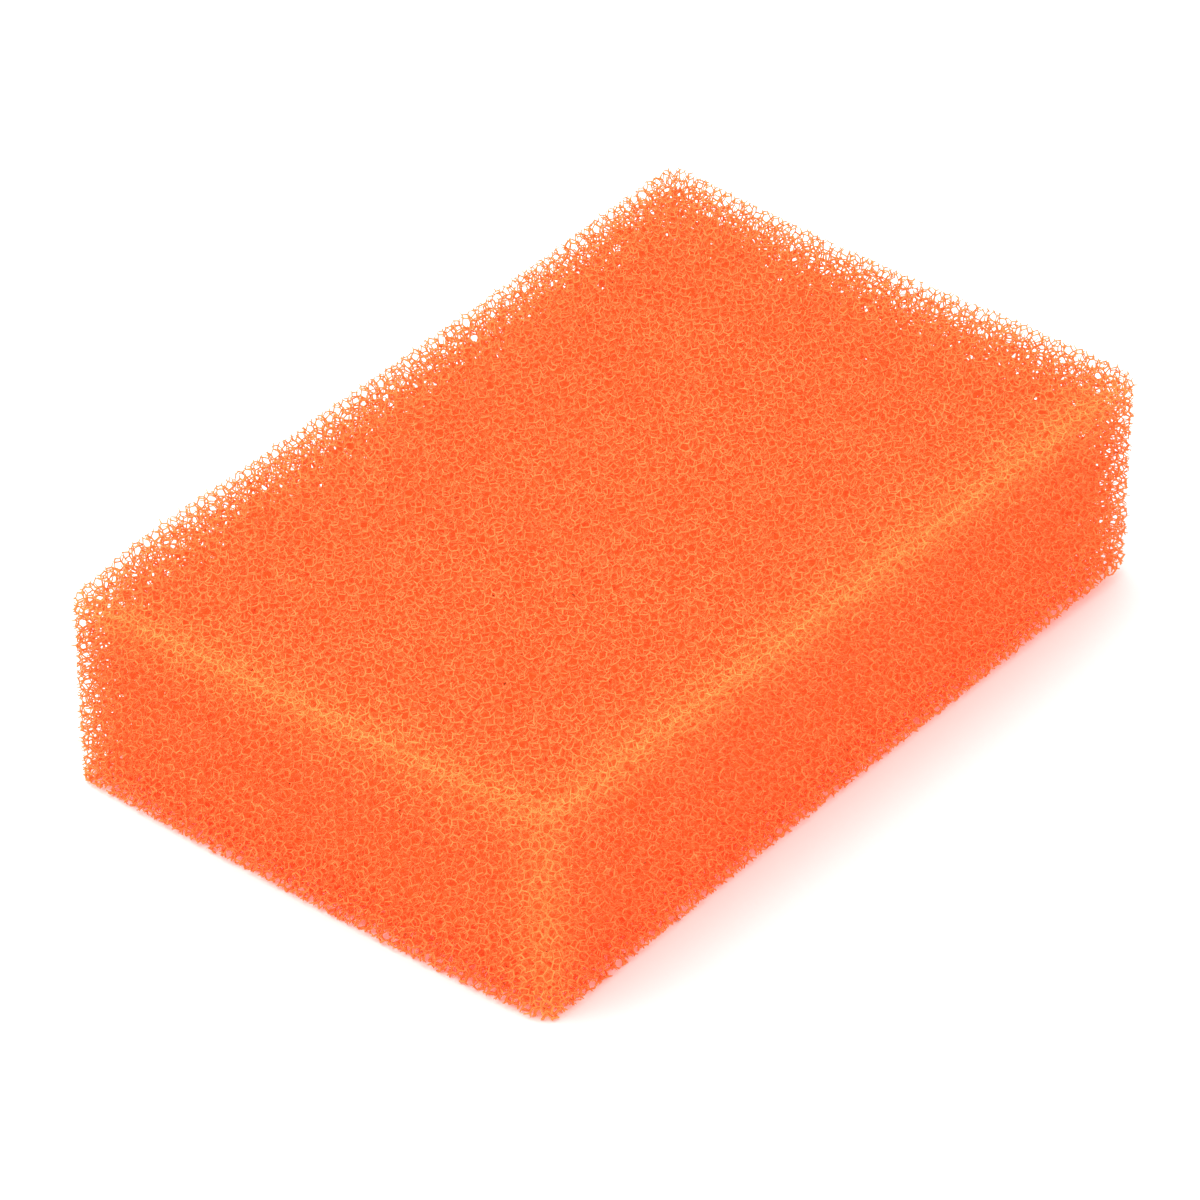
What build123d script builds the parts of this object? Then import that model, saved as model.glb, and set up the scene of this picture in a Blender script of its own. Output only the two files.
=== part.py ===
"""Foam sanding block: one rectangular piece of coarse open-cell foam, cut on all six sides.

Row frame: +X along the length, +Y across the width, +Z up. The origin is the middle of the
face that the block rests on. All sizes are in millimetres.
"""

import os

from build123d import *

# Driving dimensions
block_length = 125.0
block_width = 81.0
block_height = 34.0
corner_radius = 2.5  # upright corners, where loose cells rub off first
edge_radius = 1.2  # edges round the two working faces, about half a cell

os.makedirs("parts", exist_ok=True)


def check_sizes():
    """A rounding that meets itself across the block would leave no flat working face."""
    shortest_side = min(block_length, block_width)
    assert 2 * corner_radius < shortest_side, "corner_radius is too large for the outline"
    assert 2 * edge_radius < block_height, "edge_radius is too large for the height"
    assert edge_radius < corner_radius, "an edge rolls round an upright corner of larger radius"


def make_foam_block():
    """The cut outline raised to the full height, with both working faces eased all round."""
    with BuildPart() as foam_block:
        with BuildSketch(Plane.XY) as outline:
            RectangleRounded(block_length, block_width, corner_radius)
        extrude(amount=block_height)
        working_faces = foam_block.faces().filter_by(Axis.Z)
        fillet(working_faces.edges(), radius=edge_radius)
    foam_block.part.label = "foam_block"
    return foam_block


check_sizes()
foam_block = make_foam_block()
export_step(foam_block.part, "parts/foam_block.step")

print("foam_block", foam_block.part.bounding_box().size, "volume mm3", round(foam_block.part.volume))
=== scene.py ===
# An orange foam sanding block: an open network of struts, cut flat on all six sides.
# All sizes in the dictionaries are millimetres unless a note says otherwise.
import math

import bpy
import numpy as np
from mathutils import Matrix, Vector


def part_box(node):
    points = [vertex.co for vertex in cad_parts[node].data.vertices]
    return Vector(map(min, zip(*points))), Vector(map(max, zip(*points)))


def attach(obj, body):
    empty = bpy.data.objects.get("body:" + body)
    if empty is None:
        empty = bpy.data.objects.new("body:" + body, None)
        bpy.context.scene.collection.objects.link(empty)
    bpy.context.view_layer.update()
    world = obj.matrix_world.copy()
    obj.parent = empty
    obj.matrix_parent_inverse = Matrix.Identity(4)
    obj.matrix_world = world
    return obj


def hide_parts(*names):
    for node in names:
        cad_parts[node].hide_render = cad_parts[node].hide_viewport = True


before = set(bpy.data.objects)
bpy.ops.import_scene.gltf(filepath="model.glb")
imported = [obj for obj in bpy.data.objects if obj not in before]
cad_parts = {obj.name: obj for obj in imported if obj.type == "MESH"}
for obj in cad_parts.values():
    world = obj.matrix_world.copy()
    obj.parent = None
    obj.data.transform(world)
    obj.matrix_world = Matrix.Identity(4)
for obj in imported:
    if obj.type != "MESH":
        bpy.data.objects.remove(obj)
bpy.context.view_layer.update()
metres = 0.001  # one millimetre
blockLow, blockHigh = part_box("foam_block")
print("frame loaded, block", [round(v, 4) for v in blockHigh - blockLow])


camera = {
    "azimuth": -50.78,  # degrees, from straight in front towards the left end
    "elevation": 36.51,  # degrees above the floor
    "distance": 845.0,
    "lens": 192.3,
    "aimLeft": 1.89,  # how far the aim lies left of the block's middle, in the view
    "aimDown": 4.03,  # and how far below it
    "clip": (0.01, 20),  # metres
}


def addCamera(values):
    # the eye lies at a distance from the aim, by azimuth round the block and elevation above the floor
    azimuth = math.radians(values["azimuth"])
    elevation = math.radians(values["elevation"])
    level = math.cos(elevation)
    back = Vector((math.sin(azimuth) * level, -math.cos(azimuth) * level, math.sin(elevation)))
    turn = back.to_track_quat("Z", "Y")
    right = turn @ Vector((1, 0, 0))
    up = turn @ Vector((0, 1, 0))
    middle = (blockLow + blockHigh) / 2
    aim = middle - (right * values["aimLeft"] + up * values["aimDown"]) * metres
    data = bpy.data.cameras.new("camera")
    data.lens = values["lens"]
    data.clip_start, data.clip_end = values["clip"]
    eye = bpy.data.objects.new("camera", data)
    eye.location = aim + back * values["distance"] * metres
    eye.rotation_mode = "QUATERNION"
    eye.rotation_quaternion = turn
    bpy.context.scene.collection.objects.link(eye)
    bpy.context.scene.camera = eye


addCamera(camera)
print("camera placed")


batch = 40000  # how many triangles or groups of cells are worked out at a time, to spare memory

foam = {
    "seed": 5,
    "skin": 1.3,  # depth to which the cells keep their true size
    "pitch": 1.76,  # spacing of cells in the skin, two cells to each cube of this side
    "growth": [(1.3, 2.65, 2.9), (2.9, 3.9, 5.4), (5.4, 5.8, 99.0)],  # deeper layers: from, pitch, to
    "underside": 0.6,  # the layers start this much further out on the underside, which is seen least
    "scatter": 0.3,  # random move of each cell's middle, as a share of the pitch
    "beyond": 1.7,  # cells are made this far outside the block, and cut off
    "spreadSteps": 12,  # steps that push crowded cells apart
    "spreadRenew": 4,  # steps after which the cells round each one are looked up again
    "spreadNear": (16, 6.0),  # how many of them, and the side of the cubes they are looked up in
    "closest": 0.9,  # cells nearer than this share of the pitch push each other
    "push": 0.25,  # share of what is missing that one step makes up
    "touchNear": (70, 8.4),  # how many of the cells round each one may touch it, and the cubes' side
    "past": 1.2,  # nodes are worked out this far outside the block
    "evenSteps": 6,  # steps that even out the struts' lengths
    "pull": 0.22,  # share of a strut's difference in length that one step takes up at each end
    # thickness by depth: the depth, and how far a node's corners lie from its middle
    "strut": [(1.2, 0.115), (2.2, 0.17), (3.4, 0.3), (7.0, 0.6)],
    "matted": 3.2,  # struts at the foot are as thick as those this much deeper
    "mattedReach": 1.3,  # height over which that fades
    "strutVary": 0.12,  # random share of the strut size
    "shortest": 0.08,  # the shortest cut strut, as a share of the whole one
    "hair": 0.9,  # how far the longest of the cut struts stand out, as a share of what is cut off
    "hairMost": 1.1,  # and at most this far
    "hairRare": 3,  # power of the random share: the higher it is, the fewer long ones there are
    "tip": 0.6,  # size of a cut strut's end beside its root
    "cornerRound": 3.5,  # rounding of the upright corners
    "edgeRound": 1.2,  # rounding of the edges round the top and the underside
    "ragged": 0.3,  # how unevenly the cut struts end
    "tieSteps": 8,  # nodes just under the cut stay if this many struts or fewer tie them to the rest
    "droop": 2.8,  # how far the top is lower at the left corner, falling evenly from the other three
    # corners that give way more: which one in x and y, how much the top falls there, how much the foot
    # lifts, and how far round that reaches
    "soft": [(-1, 1, 2.0, 0.0, 10.0), (1, -1, 1.2, 0.0, 12.0), (1, -1, 0.0, 1.4, 25.0)],
    "frontBow": (-0.7, 0.63),  # how far the front face swells out halfway along, at the foot and at the top
    "leftBow": (0.71, 1.02),
    "backBow": -0.8,
    "rightBow": -2.0,
}


def insideDepth(points, half, height, under=0.0):
    # distance under the nearest face of the straight block, and negative outside it; under moves the
    # underside out
    gapX = half[0] - np.abs(points[:, 0])
    gapY = half[1] - np.abs(points[:, 1])
    gapZ = np.minimum(points[:, 2] + under, height - points[:, 2])
    return np.minimum(np.minimum(gapX, gapY), gapZ)


def bodyCentred(low, high, pitch, rng, scatter):
    # corners and middles of cubes of side pitch that fill a box, each moved at random in three directions
    axes = [np.arange(a, b, pitch) for a, b in zip(low, high)]
    corners = np.stack(np.meshgrid(*axes, indexing="ij"), -1).reshape(-1, 3)
    both = np.concatenate([corners, corners + pitch / 2])
    return both + rng.uniform(-scatter, scatter, both.shape) * pitch


def nearest(points, count, side):
    # the count nearest points of each point: space is cut into cubes, and each cube's points are measured
    # against all points in the 27 cubes round it
    place = ((points - points.min(0)) // side).astype(int) + 1
    dims = place.max(0) + 2
    key = (place[:, 0] * dims[1] + place[:, 1]) * dims[2] + place[:, 2]
    order = np.argsort(key, kind="stable")
    starts = np.concatenate([[0], np.cumsum(np.bincount(key, minlength=dims.prod()))])
    rows = [(i * dims[1] + j) * dims[2] for i in (-1, 0, 1) for j in (-1, 0, 1)]
    found = np.empty((len(points), count), np.int64)
    for cube in np.unique(key):
        mine = order[starts[cube]:starts[cube + 1]]
        near = np.concatenate([order[starts[cube + r - 1]:starts[cube + r + 2]] for r in rows])
        between = points[mine, None] - points[near]
        far = np.einsum("ijk,ijk->ij", between, between)
        pick = np.argpartition(far, count, 1)[:, :count + 1]
        rank = np.argsort(np.take_along_axis(far, pick, 1), 1)
        found[mine] = near[np.take_along_axis(pick, rank, 1)[:, 1:]]
    return found


def spreadCells(values, half, height, rng):
    # middles of the foam's cells: layers of body-centred lattices, small near the faces and wider inside,
    # then pushed apart where two are closer than their depth allows
    layers = [(-values["beyond"], values["pitch"], values["skin"])] + values["growth"]
    cells = []
    for shallow, pitch, deep in layers:
        grow = pitch - min(shallow, 0)
        low = np.array([-half[0] - grow, -half[1] - grow, -grow])
        high = np.array([half[0] + grow, half[1] + grow, height + grow])
        layer = bodyCentred(low, high, pitch, rng, values["scatter"])
        depth = insideDepth(layer, half, height, values["underside"])
        cells.append(layer[(depth >= shallow) & (depth < deep)])
    cells = np.concatenate(cells)
    middles = [(shallow + min(deep, half[1])) / 2 for shallow, _, deep in values["growth"][:-1]]
    depths = [values["skin"]] + middles + [half[1] / 4]
    pitches = [values["pitch"]] + [pitch for _, pitch, _ in values["growth"]]
    for step in range(values["spreadSteps"]):
        if step % values["spreadRenew"] == 0:
            near = nearest(cells, *values["spreadNear"])
        depth = insideDepth(cells, half, height, values["underside"])
        apart = np.interp(depth, depths, pitches)[:, None] * values["closest"]
        between = cells[:, None] - cells[near]
        gap = np.sqrt((between ** 2).sum(2))
        push = np.maximum(apart / gap - 1, 0) * values["push"]
        cells = cells + (between * push[..., None]).sum(1)
    return cells


def circleThrough(points, tri):
    # the circle through three points: its middle from the first point, its radius squared, and the normal
    # of its plane
    ab = points[tri[:, 1]] - points[tri[:, 0]]
    ac = points[tri[:, 2]] - points[tri[:, 0]]
    normal = np.cross(ab, ac)
    square = (normal ** 2).sum(1)[:, None]
    middle = np.cross(normal, ab) * (ac ** 2).sum(1)[:, None]
    middle = middle + np.cross(ac, normal) * (ab ** 2).sum(1)[:, None]
    middle = middle / (2 * square)
    return middle, (middle ** 2).sum(1), normal / np.sqrt(square)


def firstTriangles(points, near):
    # one sure triangle for each cell: itself, its nearest cell, and the third cell that gives the smallest
    # circle
    reach = points[near[:, 0]] - points
    half2 = (reach ** 2).sum(1)[:, None] / 4
    to = points[near[:, 1:]] - (points + reach / 2)[:, None]
    along = np.einsum("ijk,ik->ij", to, reach) / (4 * half2)
    across = np.sqrt(((to - along[..., None] * reach[:, None]) ** 2).sum(2))
    rise = ((to ** 2).sum(2) - half2) / np.maximum(across, 1e-9)
    third = np.take_along_axis(near[:, 1:], rise.argmin(1)[:, None], 1)[:, 0]
    return np.unique(np.sort(np.stack([np.arange(len(points)), near[:, 0], third], 1), 1), axis=0)


def joinCells(points, near, wanted):
    # groups of four touching cells, found in waves. Each triangle of cells takes, on its open side, the cell
    # whose ball through all four has its middle least far along the triangle's normal: no other cell lies in
    # that ball. The ball's middle is where four struts of the foam meet.
    total = len(points)
    level = 1e-7  # cells no higher than this above a triangle's plane count as lying in it

    def code(side):
        # one whole number for a triangle's three cells and its open side
        return ((side[:, 0] * total + side[:, 1]) * total + side[:, 2]) * 2 + side[:, 3]

    first = firstTriangles(points, near)
    ones = np.ones((len(first), 1), int)
    waiting = np.concatenate([np.hstack([first, ones * 0]), np.hstack([first, ones])])
    seen = np.unique(code(waiting))
    groups, middles = [], []
    while len(waiting):
        count = len(waiting) // batch + 1
        for part in np.array_split(waiting, count):
            middle, radius2, normal = circleThrough(points, part)
            middle = middle + points[part[:, 0]]
            normal = normal * (1 - 2 * part[:, 3:4])
            others = near[part[:, 0]]
            to = points[others] - middle[:, None]
            up = np.einsum("ijk,ik->ij", to, normal)
            lift = ((to ** 2).sum(2) - radius2[:, None]) / (2 * np.maximum(up, level))
            lift[(others == part[:, 1:2]) | (others == part[:, 2:3]) | (up <= level)] = np.inf
            best = lift.argmin(1)[:, None]
            rise = np.take_along_axis(lift, best, 1)
            ball = middle + normal * np.where(np.isfinite(rise), rise, 0)
            good = np.isfinite(rise[:, 0]) & wanted(ball)
            groups.append(np.sort(np.hstack([part[:, :3], np.take_along_axis(others, best, 1)])[good], 1))
            middles.append(ball[good])
        fresh = np.concatenate(groups[-count:])
        outward, inward = [], []
        for left in range(4):
            side = np.delete(fresh, left, 1)
            _, _, normal = circleThrough(points, side)
            to = points[fresh[:, left]] - points[side[:, 0]]
            facing = ((to * normal).sum(1) > 0).astype(int)[:, None]
            outward.append(np.hstack([side, facing]))
            inward.append(np.hstack([side, 1 - facing]))
        outward = np.concatenate(outward)
        seen = np.union1d(seen, code(np.concatenate(inward)))
        sides, index = np.unique(code(outward), return_index=True)
        waiting = outward[index[~np.isin(sides, seen, assume_unique=True)]]
        seen = np.union1d(seen, sides)
    groups, index = np.unique(np.concatenate(groups), axis=0, return_index=True)
    return groups, np.concatenate(middles)[index]


def emptyBalls(points, near, groups, middles):
    # which groups are sound: the ball through their four cells holds none of the cells near them
    slack = 0.999999  # leaves out the four cells themselves, which lie on the ball
    sound = []
    for part in np.array_split(np.arange(len(groups)), len(groups) // batch + 1):
        middle = middles[part]
        radius2 = ((points[groups[part, 0]] - middle) ** 2).sum(1)[:, None]
        empty = np.ones(len(part), bool)
        for corner in range(4):
            gap = points[near[groups[part, corner]]] - middle[:, None]
            empty &= ((gap ** 2).sum(2) > radius2 * slack).all(1)
        sound.append(empty)
    return np.concatenate(sound)


def pairStruts(groups):
    # two groups that share three cells are the two ends of a strut: returns, for each strut, its three
    # cells, its two nodes and which of the four cells each node leaves out
    count = len(groups)
    node = np.tile(np.arange(count), 4)
    left = np.repeat(np.arange(4), count)
    trio = np.concatenate([np.delete(groups, i, 1) for i in range(4)])
    order = np.lexsort(trio.T[::-1])
    trio, node, left = trio[order], node[order], left[order]
    same = np.zeros(len(trio), bool)
    same[:-1] = (trio[1:] == trio[:-1]).all(1)
    same[1:] &= ~same[:-1]
    one = np.flatnonzero(same)
    return trio[one], np.stack([node[one], node[one + 1]], 1), np.stack([left[one], left[one + 1]], 1)


def evenOut(nodes, ends, free, values):
    # every strut pulls or pushes its ends towards the usual length round it, which also evens the angles
    for _ in range(values["evenSteps"]):
        along = nodes[ends[:, 1]] - nodes[ends[:, 0]]
        length = np.sqrt((along ** 2).sum(1))
        total = np.bincount(ends.ravel(), np.repeat(length, 2), len(nodes))
        share = np.maximum(np.bincount(ends.ravel(), minlength=len(nodes)), 1)
        usual = (total / share)[ends].mean(1)
        move = along * (values["pull"] * (length - usual) / np.maximum(length, 1e-6))[:, None]
        shift = np.zeros_like(nodes)
        for axis in range(3):
            shift[:, axis] = np.bincount(ends[:, 0], move[:, axis], len(nodes))
            shift[:, axis] -= np.bincount(ends[:, 1], move[:, axis], len(nodes))
        nodes = nodes + shift * free[:, None]
    return nodes


def roundedDepth(points, half, height, corner, edge):
    # depth under the block's surface with its upright corners and its top and bottom edges rounded
    flat = np.abs(points[:, :2]) - (half - corner)
    outline = corner - np.hypot(*np.maximum(flat, 0).T) - np.minimum(flat.max(1), 0)
    rise = np.abs(points[:, 2] - height / 2) - height / 2 + edge
    both = np.stack([edge - outline, rise], 1)
    return edge - np.hypot(*np.maximum(both, 0).T) - np.minimum(both.max(1), 0)


def buildFoam(values):
    # a closed mesh of the foam. Each node is a small solid with four corners, each strut a three-sided tube
    # between two nodes; the cut faces end in strut tips.
    rng = np.random.default_rng(values["seed"])
    size = np.array(blockHigh - blockLow) / metres
    half, height = size[:2] / 2, size[2]
    cells = spreadCells(values, half, height, rng)
    near = nearest(cells, *values["touchNear"])
    print("cells", len(cells))
    groups, nodes = joinCells(cells, near, lambda p: insideDepth(p, half, height) > -values["past"])
    sound = emptyBalls(cells, near, groups, nodes)
    groups, nodes = groups[sound], nodes[sound]
    trio, ends, leaves = pairStruts(groups)
    linked = np.bincount(ends.ravel(), minlength=len(nodes))
    nodes = evenOut(nodes, ends, linked == 4, values)
    print("nodes", len(nodes), "struts", len(ends))

    # what lies inside the cut, leaving out scraps that no strut ties to the rest
    depth = roundedDepth(nodes, half, height, values["cornerRound"], values["edgeRound"])
    depth = depth - rng.uniform(0, values["ragged"], len(nodes))
    inside = depth > 0
    kept = depth > values["pitch"]
    both = inside[ends].all(1)
    for _ in range(values["tieSteps"]):
        reached = kept[ends].any(1) & both
        kept[ends[reached].ravel()] = True
    whole = kept[ends].all(1)
    cut = kept[ends].any(1) & ~whole

    # each node's four corners point away from its four struts
    towards = np.zeros((len(nodes), 4, 3))
    along = nodes[ends[:, 1]] - nodes[ends[:, 0]]
    length = np.maximum(np.sqrt((along ** 2).sum(1)), 1e-6)
    along = along / length[:, None]
    towards[ends[:, 0], leaves[:, 0]] = along
    towards[ends[:, 1], leaves[:, 1]] = -along
    shallow = insideDepth(nodes, half, height)
    matted = values["matted"] * np.exp(-np.maximum(nodes[:, 2], 0) / values["mattedReach"])
    thick = np.interp(shallow + matted, *np.array(values["strut"]).T)
    thick = thick * (1 + rng.uniform(-1, 1, len(nodes)) * values["strutVary"])
    corners = nodes[:, None] - towards * thick[:, None, None]

    number = np.full(len(nodes), -1)
    number[kept] = np.arange(kept.sum())
    points = [corners[kept].reshape(-1, 3)]

    def cornerOf(node, cell):
        # the corner of a node that points towards a cell
        return number[node] * 4 + (groups[node] == cell[:, None]).argmax(1)

    def facingOut(trio, node, left):
        # three of a node's cells in turn, anticlockwise seen from the side away from the fourth, left out
        _, _, normal = circleThrough(cells, trio)
        away = cells[trio].mean(1) - cells[groups[node, left]]
        back = (normal * away).sum(1) < 0
        trio = trio.copy()
        trio[back] = trio[back][:, [0, 2, 1]]
        return trio

    faces = []

    def addSides(near, far):
        # the three sides of a strut between two triangles of points, two faces each
        for i, j in ((0, 1), (1, 2), (2, 0)):
            faces.append(np.stack([near[:, i], near[:, j], far[:, j]], 1))
            faces.append(np.stack([near[:, i], far[:, j], far[:, i]], 1))

    turned = facingOut(trio[whole], ends[whole, 0], leaves[whole, 0])
    starts = np.stack([cornerOf(ends[whole, 0], turned[:, i]) for i in range(3)], 1)
    stops = np.stack([cornerOf(ends[whole, 1], turned[:, i]) for i in range(3)], 1)
    addSides(starts, stops)

    # struts that the cut goes through end there, a little unevenly, with a flat tip
    flip = ~kept[ends[cut, 0]]
    near = np.where(flip, ends[cut, 1], ends[cut, 0])
    far = np.where(flip, ends[cut, 0], ends[cut, 1])
    out = along[cut] * np.where(flip, -1, 1)[:, None]
    share = depth[near] / np.maximum(depth[near] - depth[far], 1e-6)
    share = np.clip(share, values["shortest"], 1)
    longer = np.where(nodes[near, 2] > values["pitch"], 1 - share, 0) * values["hair"]
    longer = longer * rng.random(len(share)) ** values["hairRare"]
    share = share + np.minimum(longer, values["hairMost"] / length[cut])
    turned = facingOut(trio[cut], near, np.where(flip, leaves[cut, 1], leaves[cut, 0]))
    starts = np.stack([cornerOf(near, turned[:, i]) for i in range(3)], 1)
    base = points[0][starts]
    tip = base.mean(1, keepdims=True) + (base - base.mean(1, keepdims=True)) * values["tip"]
    tip = tip + (out * (length[cut] * share)[:, None])[:, None]
    stops = len(points[0]) + np.arange(tip.shape[0] * 3).reshape(-1, 3)
    points.append(tip.reshape(-1, 3))
    addSides(starts, stops)
    faces.append(stops)

    # corners of a node where a strut is missing are closed with one face
    joined = np.zeros((len(nodes), 4), bool)
    joined[ends[:, 0], leaves[:, 0]] = True
    joined[ends[:, 1], leaves[:, 1]] = True
    node, left = np.nonzero(~joined & kept[:, None])
    if len(node):
        otherThree = np.array([np.delete(np.arange(4), corner) for corner in range(4)])
        rest = np.take_along_axis(groups[node], otherThree[left], 1)
        rest = facingOut(rest, node, left)
        faces.append(np.stack([cornerOf(node, rest[:, i]) for i in range(3)], 1))
        print("closed nodes", len(node))
    points = np.concatenate(points)
    faces = np.concatenate(faces)
    points[:, 2] = np.maximum(points[:, 2], 0)
    gaps = np.stack([*(half - np.abs(points[:, :2])).T, height - points[:, 2]], 1)
    marks = {
        "depth": roundedDepth(points, half, height, values["cornerRound"], values["edgeRound"]),
        "rim": np.sort(np.maximum(gaps, 0), 1)[:, 1],
    }
    return points, faces, marks


def settle(points, values):
    # the used block's shape. The top falls by a product of two straight ramps towards the left corner, and
    # some corners give way more, by a bell curve round each; what lies under the top follows in proportion.
    # The four side faces swell out or draw in by a parabola along their length.
    size = np.array(blockHigh - blockLow) / metres
    x, y, z = points.T
    along, across, rise = x / size[0], y / size[1], z / size[2]
    drop = values["droop"] * np.clip((0.5 - along) * (0.5 + across), 0, 1)
    lift = 0
    for sideX, sideY, fall, foot, reach in values["soft"]:
        gap2 = (x - sideX * size[0] / 2) ** 2 + (y - sideY * size[1] / 2) ** 2
        bell = np.exp(-gap2 / reach ** 2)
        drop = drop + fall * bell
        lift = lift + foot * bell
    middleX, middleY = np.maximum(1 - 4 * along ** 2, 0), np.maximum(1 - 4 * across ** 2, 0)
    front = values["frontBow"][0] * (1 - rise) + values["frontBow"][1] * rise
    left = values["leftBow"][0] * (1 - rise) + values["leftBow"][1] * rise
    moveX = values["rightBow"] * (0.5 + along) - left * (0.5 - along)
    moveY = values["backBow"] * (0.5 + across) - front * (0.5 - across)
    return np.stack([x + moveX * middleY, y + moveY * middleX, z - drop * rise + lift * (1 - rise)], 1)


def meshObject(name, points, faces, marks):
    # a smooth mesh of triangles, whose points carry marks: their depth under the cut surface, and how far
    # they lie from the nearest top or upright edge, both in millimetres
    mesh = bpy.data.meshes.new(name)
    mesh.vertices.add(len(points))
    mesh.vertices.foreach_set("co", np.ascontiguousarray(points, np.float32).ravel())
    mesh.loops.add(faces.size)
    mesh.loops.foreach_set("vertex_index", np.ascontiguousarray(faces, np.int32).ravel())
    mesh.polygons.add(len(faces))
    mesh.polygons.foreach_set("loop_start", np.arange(0, faces.size, 3, dtype=np.int32))
    mesh.polygons.foreach_set("use_smooth", np.ones(len(faces), bool))
    mesh.update(calc_edges=True)
    for mark, value in marks.items():
        mesh.attributes.new(mark, "FLOAT", "POINT").data.foreach_set("value", value.astype(np.float32))
    piece = bpy.data.objects.new(name, mesh)
    bpy.context.scene.collection.objects.link(piece)
    return piece


points, faces, marks = buildFoam(foam)
block = meshObject("foam", settle(points, foam) * metres, faces, marks)
print("foam mesh", len(points), "points", len(faces), "triangles")


class Wire:
    # one socket of a material's nodes, with arithmetic: an expression on wires adds its Math nodes
    def __init__(self, tree, socket=None):
        self.tree = tree
        self.socket = socket

    def node(self, kind, settings=None, values=None, output=0):
        # any node: its settings first, then values or wires into its sockets
        made = self.tree.nodes.new(kind)
        for name, value in (settings or {}).items():
            setattr(made, name, value)
        for name, value in (values or {}).items():
            if isinstance(value, Wire):
                self.tree.links.new(value.socket, made.inputs[name])
            else:
                made.inputs[name].default_value = value
        return Wire(self.tree, made.outputs[output])

    def math(self, operation, first, second):
        return self.node("ShaderNodeMath", {"operation": operation}, {0: first, 1: second})

    def __add__(self, other):
        return self.math("ADD", self, other)

    def __radd__(self, other):
        return self.math("ADD", other, self)

    def __sub__(self, other):
        return self.math("SUBTRACT", self, other)

    def __rsub__(self, other):
        return self.math("SUBTRACT", other, self)

    def __mul__(self, other):
        return self.math("MULTIPLY", self, other)

    def __rmul__(self, other):
        return self.math("MULTIPLY", other, self)


def spread(wire, low, high):
    # straight from 0 at low to 1 at high, and held there beyond
    values = {"Value": wire, "From Min": low, "From Max": high}
    return wire.node("ShaderNodeMapRange", {"clamp": True}, values, "Result")


def blend(share, one, two):
    # two colours in proportion; a colour is a wire or four numbers, and the mix node keeps its colours in
    # sockets 6 and 7 and its result in 2
    settings = {"data_type": "RGBA", "clamp_factor": True}
    return share.node("ShaderNodeMix", settings, {0: share, 6: one, 7: two}, 2)


def noise(place, millimetre, detail):
    # soft random blobs of about this size, from 0 to 1
    scale = 1 / (millimetre * metres)
    return place.node("ShaderNodeTexNoise", {}, {"Vector": place, "Scale": scale, "Detail": detail}, "Fac")


foamColour = {
    "tip": (0.97, 0.185, 0.052, 1),  # linear colour of the struts at the cut surface
    "pale": (0.98, 0.255, 0.072, 1),  # where the dye is thin
    "pit": (0.95, 0.190, 0.055, 1),  # struts below, in painted light: their colour by depth stands in for how light reaches into the pits
    "edge": (0.98, 0.290, 0.070, 1),  # along the edges, where light comes in from two sides
    "edgeReach": 14.0,
    "pitDepth": 2.0,  # depth at which the pit colour is reached
    "paintedGlow": (0.22, 0.041, 0.0122, 1),  # painted glow: light the foam gives off though it is no lamp, to lighten its shaded struts
    # painted glow in the pits, stronger than at the cut surface
    "paintedGlowPit": (0.30, 0.052, 0.015, 1),
    "paintedGlowCore": (0.75, 0.085, 0.02, 1),  # more painted glow deep inside, where no light from outside comes straight in
    "coreDepth": (2.5, 5.0),
    "blotch": 14.0,  # size of the uneven patches of dye
    "blotchRange": (0.35, 0.65),  # what the patches' noise runs between
    "speckle": 1.3,
    "speckleRange": (0.3, 0.7),
    "roughness": (0.32, 0.2),  # the least, and how much the specks add
    "gloss": 0.12,
}


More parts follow.
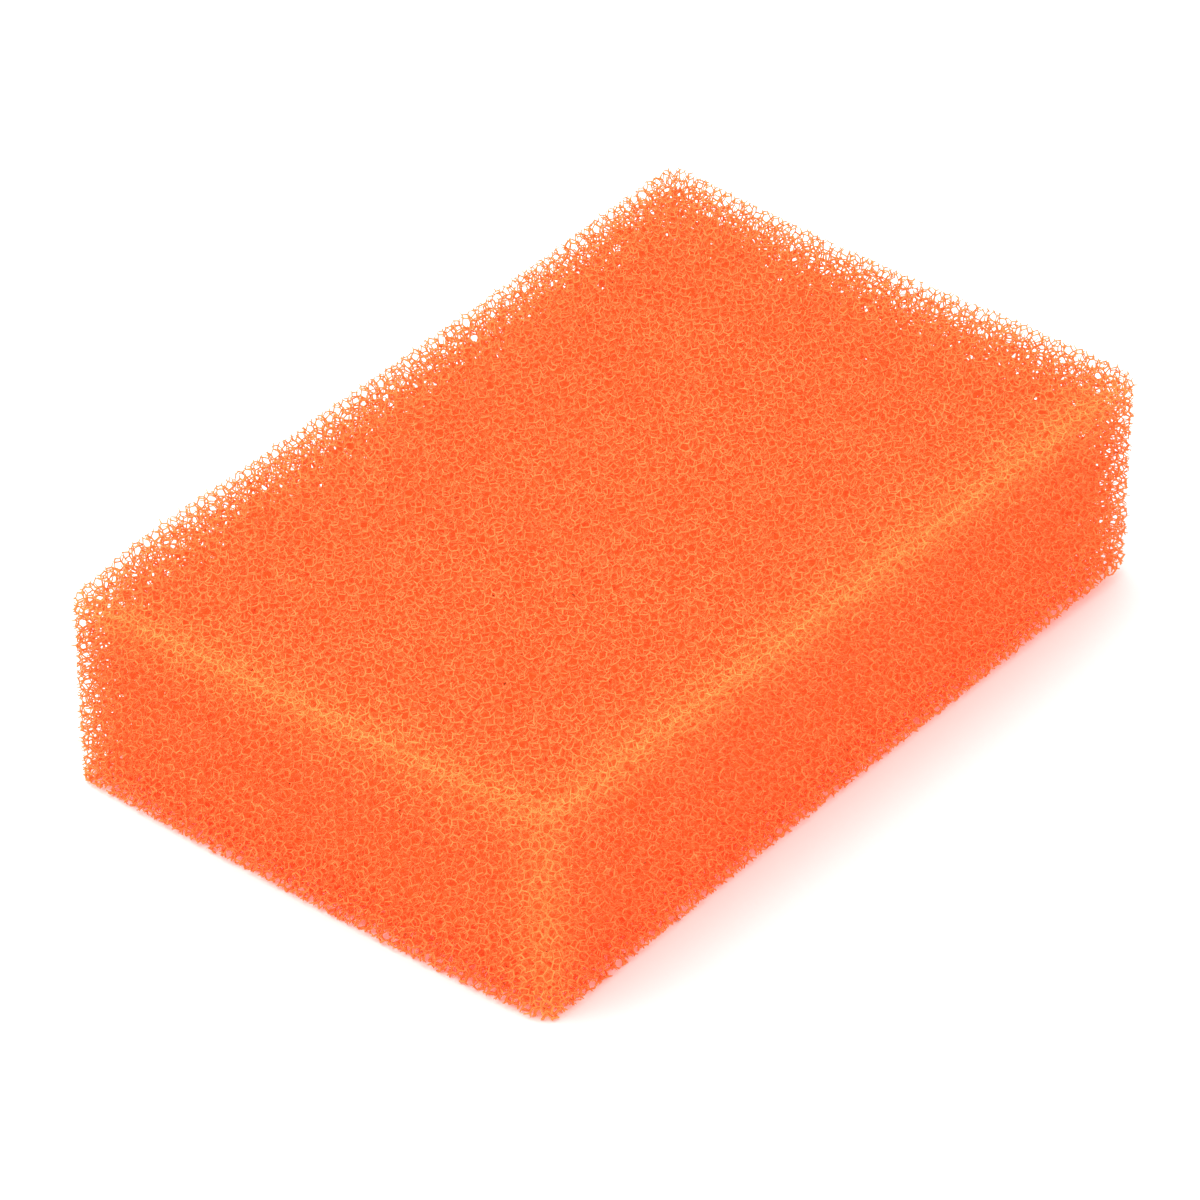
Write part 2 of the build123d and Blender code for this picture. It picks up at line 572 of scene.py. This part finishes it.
def foamMaterial(values):
    # colour by depth under the cut surface and by distance from the edges, both painted light, and by noise
    # of two sizes, with a painted glow that grows with depth
    material = bpy.data.materials.new("orangeFoam")
    material.use_nodes = True
    shader = material.node_tree.nodes["Principled BSDF"]
    nodes = Wire(material.node_tree)
    place = nodes.node("ShaderNodeTexCoord", output="Object")
    depth = nodes.node("ShaderNodeAttribute", {"attribute_name": "depth"}, output="Fac")
    rim = nodes.node("ShaderNodeAttribute", {"attribute_name": "rim"}, output="Fac")
    deep = spread(depth, 0, values["pitDepth"])
    near = 1 - spread(rim, 0, values["edgeReach"])
    patches = spread(noise(place, values["blotch"], 1), *values["blotchRange"])
    specks = spread(noise(place, values["speckle"], 0), *values["speckleRange"])
    tip = blend(patches * 0.5 + specks * 0.5, values["tip"], values["pale"])
    # painted light: towards the pit colour with depth, and towards the edge colour near the edges
    colour = blend(near * near, blend(deep, tip, values["pit"]), values["edge"])
    # painted glow, growing with depth, goes into the emission
    paintedGlow = blend(deep, values["paintedGlow"], values["paintedGlowPit"])
    paintedGlow = blend(spread(depth, *values["coreDepth"]), paintedGlow, values["paintedGlowCore"])
    rough = values["roughness"][0] + specks * values["roughness"][1]
    for name, wire in (("Base Color", colour), ("Emission Color", paintedGlow), ("Roughness", rough)):
        nodes.tree.links.new(wire.socket, shader.inputs[name])
    # the painted glow is given at full strength
    shader.inputs["Emission Strength"].default_value = 1
    shader.inputs["Specular IOR Level"].default_value = values["gloss"]
    return material


block.data.materials.append(foamMaterial(foamColour))
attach(block, "root")
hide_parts("foam_block")


studio = {
    "floor": 3000.0,  # side of the floor
    "floorColour": (0.87, 0.95, 0.95),
    "floorRoughness": 0.9,
    "sky": 1.25,
    "lamp": 8.0,  # watts
    "lampSide": 900.0,
    "lampPlace": (-200.0, 300.0, 1000.0),
    "bounces": 16,  # so that light reaches the middle of the foam
}


def addFloor(values):
    # one square at height 0, with its middle under the block
    side = values["floor"] * metres / 2
    corners = np.array([(-side, -side, 0), (side, -side, 0), (side, side, 0), (-side, side, 0)])
    mesh = bpy.data.meshes.new("floor")
    mesh.from_pydata(corners.tolist(), [], [(0, 1, 2, 3)])
    floor = bpy.data.objects.new("floor", mesh)
    bpy.context.scene.collection.objects.link(floor)
    material = bpy.data.materials.new("paleFloor")
    material.use_nodes = True
    shader = material.node_tree.nodes["Principled BSDF"]
    shader.inputs["Base Color"].default_value = (*values["floorColour"], 1)
    shader.inputs["Roughness"].default_value = values["floorRoughness"]
    mesh.materials.append(material)


def addLamp(values):
    # one square lamp that faces the origin
    data = bpy.data.lights.new("topSoftbox", "AREA")
    data.size = values["lampSide"] * metres
    data.energy = values["lamp"]
    lamp = bpy.data.objects.new("topSoftbox", data)
    lamp.location = Vector(values["lampPlace"]) * metres
    lamp.rotation_mode = "QUATERNION"
    lamp.rotation_quaternion = Vector(values["lampPlace"]).to_track_quat("Z", "Y")
    bpy.context.scene.collection.objects.link(lamp)


def addSky(values):
    # the same white light from all round
    world = bpy.data.worlds.new("softSky")
    world.use_nodes = True
    background = world.node_tree.nodes["Background"]
    background.inputs["Color"].default_value = (1, 1, 1, 1)
    background.inputs["Strength"].default_value = values["sky"]
    bpy.context.scene.world = world


addFloor(studio)
addSky(studio)
addLamp(studio)
bpy.context.scene.view_settings.view_transform = "Standard"
bpy.context.scene.cycles.diffuse_bounces = studio["bounces"]
bpy.context.scene.cycles.max_bounces = studio["bounces"]
print("floor and light set")
